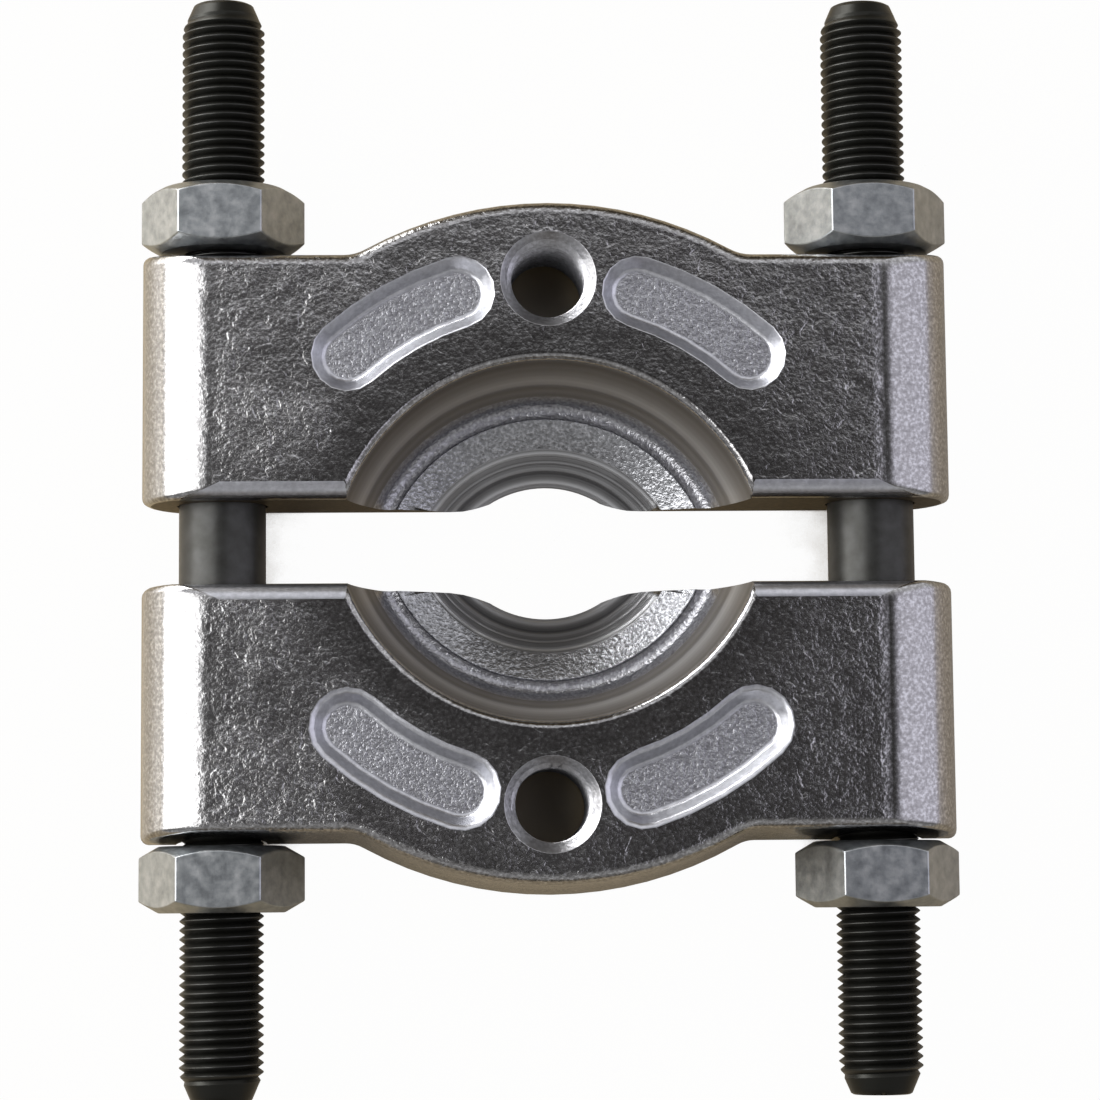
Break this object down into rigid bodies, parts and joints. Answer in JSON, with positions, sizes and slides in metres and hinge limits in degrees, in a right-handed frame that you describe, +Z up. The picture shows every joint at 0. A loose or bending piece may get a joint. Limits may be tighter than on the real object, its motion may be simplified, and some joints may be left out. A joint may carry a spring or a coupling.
{
  "type": "external bearing puller",
  "caption": "Split forged plate that clamps behind a bearing or gear; its half-round knife edges are drawn together by nuts on threaded side studs, and its threaded holes take a puller's legs.",
  "frame": {"origin": "on the resting plane of the jaws' flat backs, midway along the two studs and midway between them", "axes": "+Y along the studs, from the lower jaw to the upper jaw; +Z up, out of the recessed faces; +X across the jaws, from the left stud to the right stud"},
  "size_m": [0.1372, 0.185, 0.025],
  "materials": {
    "jaw_plating": "bright plated over a fine hammered forging skin",
    "nut_zinc": "blue zinc plated, satin and faintly mottled",
    "stud_black": "black oxide over steel, oiled"
  },
  "bodies": {
    "lower_jaw": {"lower_jaw": "jaw_plating"},
    "lower_left_nut": {"lower_left_nut": "nut_zinc"},
    "lower_right_nut": {"lower_right_nut": "nut_zinc"},
    "left_stud": {"left_stud": "stud_black"},
    "right_stud": {"right_stud": "stud_black"},
    "upper_jaw": {"upper_jaw": "jaw_plating"},
    "upper_left_nut": {"upper_left_nut": "nut_zinc"},
    "upper_right_nut": {"upper_right_nut": "nut_zinc"}
  },
  "joints": [
    {"name": "lower_left_nut_turn", "type": "hinge", "parent": "lower_jaw", "child": "lower_left_nut", "pos_m": [-0.05475, -0.05615, 0.0125], "axis": [0, 1, 0], "range_deg": [-6481, 1645]},
    {"name": "lower_right_nut_turn", "type": "hinge", "parent": "lower_jaw", "child": "lower_right_nut", "pos_m": [0.05475, -0.05615, 0.0125], "axis": [0, 1, 0], "range_deg": [-6481, 1645]},
    {"name": "left_stud_draw", "type": "slide", "parent": "lower_jaw", "child": "left_stud", "axis": [0, 1, 0], "range_m": [-0.00685, 0.027]},
    {"name": "right_stud_draw", "type": "slide", "parent": "lower_jaw", "child": "right_stud", "axis": [0, 1, 0], "range_m": [-0.00685, 0.027]},
    {"name": "upper_jaw_draw", "type": "slide", "parent": "left_stud", "child": "upper_jaw", "axis": [0, 1, 0], "range_m": [-0.00685, 0.027]},
    {"name": "upper_left_nut_turn", "type": "hinge", "parent": "upper_jaw", "child": "upper_left_nut", "pos_m": [-0.05475, 0.05465, 0.0125], "axis": [0, 1, 0], "range_deg": [-1645, 6481]},
    {"name": "upper_right_nut_turn", "type": "hinge", "parent": "upper_jaw", "child": "upper_right_nut", "pos_m": [0.05475, 0.05465, 0.0125], "axis": [0, 1, 0], "range_deg": [-1645, 6481]}
  ],
  "couplings": [
    {"joint": "right_stud_draw", "follows": "left_stud_draw", "ratio": 1},
    {"joint": "lower_left_nut_turn", "follows": "left_stud_draw", "rad_per_m": -4188.8},
    {"joint": "lower_right_nut_turn", "follows": "left_stud_draw", "rad_per_m": -4188.8},
    {"joint": "upper_left_nut_turn", "follows": "upper_jaw_draw", "rad_per_m": 4188.8},
    {"joint": "upper_right_nut_turn", "follows": "upper_jaw_draw", "rad_per_m": 4188.8}
  ]
}
